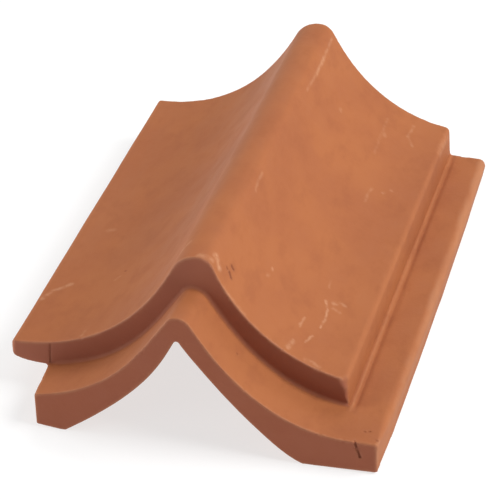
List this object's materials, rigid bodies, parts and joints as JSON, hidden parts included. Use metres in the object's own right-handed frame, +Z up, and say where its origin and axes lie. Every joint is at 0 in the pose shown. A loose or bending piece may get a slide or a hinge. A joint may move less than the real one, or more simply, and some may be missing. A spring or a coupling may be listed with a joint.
{
  "type": "decorative ridge tile",
  "caption": "Fired clay ridge tile with a rounded ridge, hollow flanks, a low lip in front, an overhang on one side and a flange on the other.",
  "frame": {"origin": "centre of the bounding box on the ground, between the feet", "axes": "+Z up; the ridge runs along Y with the lip in front at -Y; the flange is on +X and the overhang on -X"},
  "size_m": [0.274, 0.4, 0.1265],
  "materials": {
    "fired_clay": "unglazed fired clay, matte with a faint sheen on rubbed places"
  },
  "bodies": {
    "root": {"ridge_tile": "fired_clay"}
  },
  "joints": []
}
